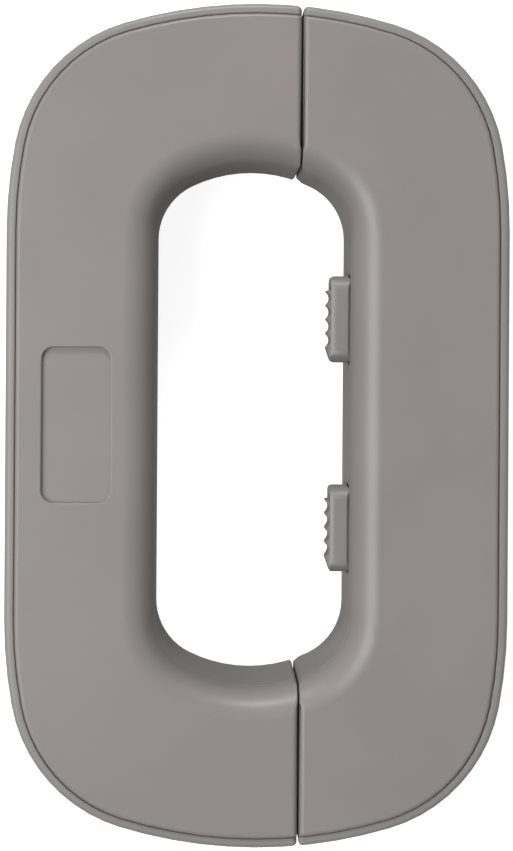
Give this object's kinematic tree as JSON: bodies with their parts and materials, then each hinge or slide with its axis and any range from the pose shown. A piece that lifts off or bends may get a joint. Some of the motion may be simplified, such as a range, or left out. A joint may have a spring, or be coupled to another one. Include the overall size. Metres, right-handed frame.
{
  "type": "cabinet safety lock",
  "caption": "Ring-shaped child safety lock split into adhesive-backed halves; spring bolts bridge the seam and squeezing the ridged buttons inside the ring draws them back.",
  "frame": {"origin": "on the door surface, under the middle of the closed ring", "axes": "+Z away from the doors towards the front face, +Y up along the ring's long axis, +X from the strike half to the latch half"},
  "size_m": [0.0716, 0.12, 0.021],
  "materials": {
    "housing": "fine satin moulded ABS",
    "bolt": "natural acetal",
    "steel": "zinc-plated screws and spring wire",
    "foam": "acrylic foam tape"
  },
  "bodies": {
    "strike_half": {"strike_base": "housing", "strike_cover": "housing", "strike_screws": "steel", "strike_bar_pad": "foam", "strike_leg_pads": "foam"},
    "latch_half": {"latch_base": "housing", "latch_cover": "housing", "latch_screws": "steel", "latch_bar_pad": "foam", "latch_leg_pads": "foam", "upper_retainer": "bolt", "lower_retainer": "bolt", "retainer_screws": "steel", "upper_button_spring": "steel", "upper_arm_spring": "steel", "lower_button_spring": "steel", "lower_arm_spring": "steel"},
    "upper_latch": {"upper_bolt": "bolt", "upper_button": "housing"},
    "lower_latch": {"lower_bolt": "bolt", "lower_button": "housing"}
  },
  "joints": [
    {"name": "halves_part", "type": "slide", "parent": "strike_half", "child": "latch_half", "axis": [1, 0, 0], "range_m": [0, 0.04]},
    {"name": "upper_button_press", "type": "slide", "parent": "latch_half", "child": "upper_latch", "axis": [1, 0, 0], "range_m": [0, 0.0026], "stiffness_N_per_m": 400, "springref_m": -0.004, "deforming": ["upper_button_spring", "upper_arm_spring"]},
    {"name": "lower_button_press", "type": "slide", "parent": "latch_half", "child": "lower_latch", "axis": [1, 0, 0], "range_m": [0, 0.0026], "stiffness_N_per_m": 400, "springref_m": -0.004, "deforming": ["lower_button_spring", "lower_arm_spring"]}
  ]
}
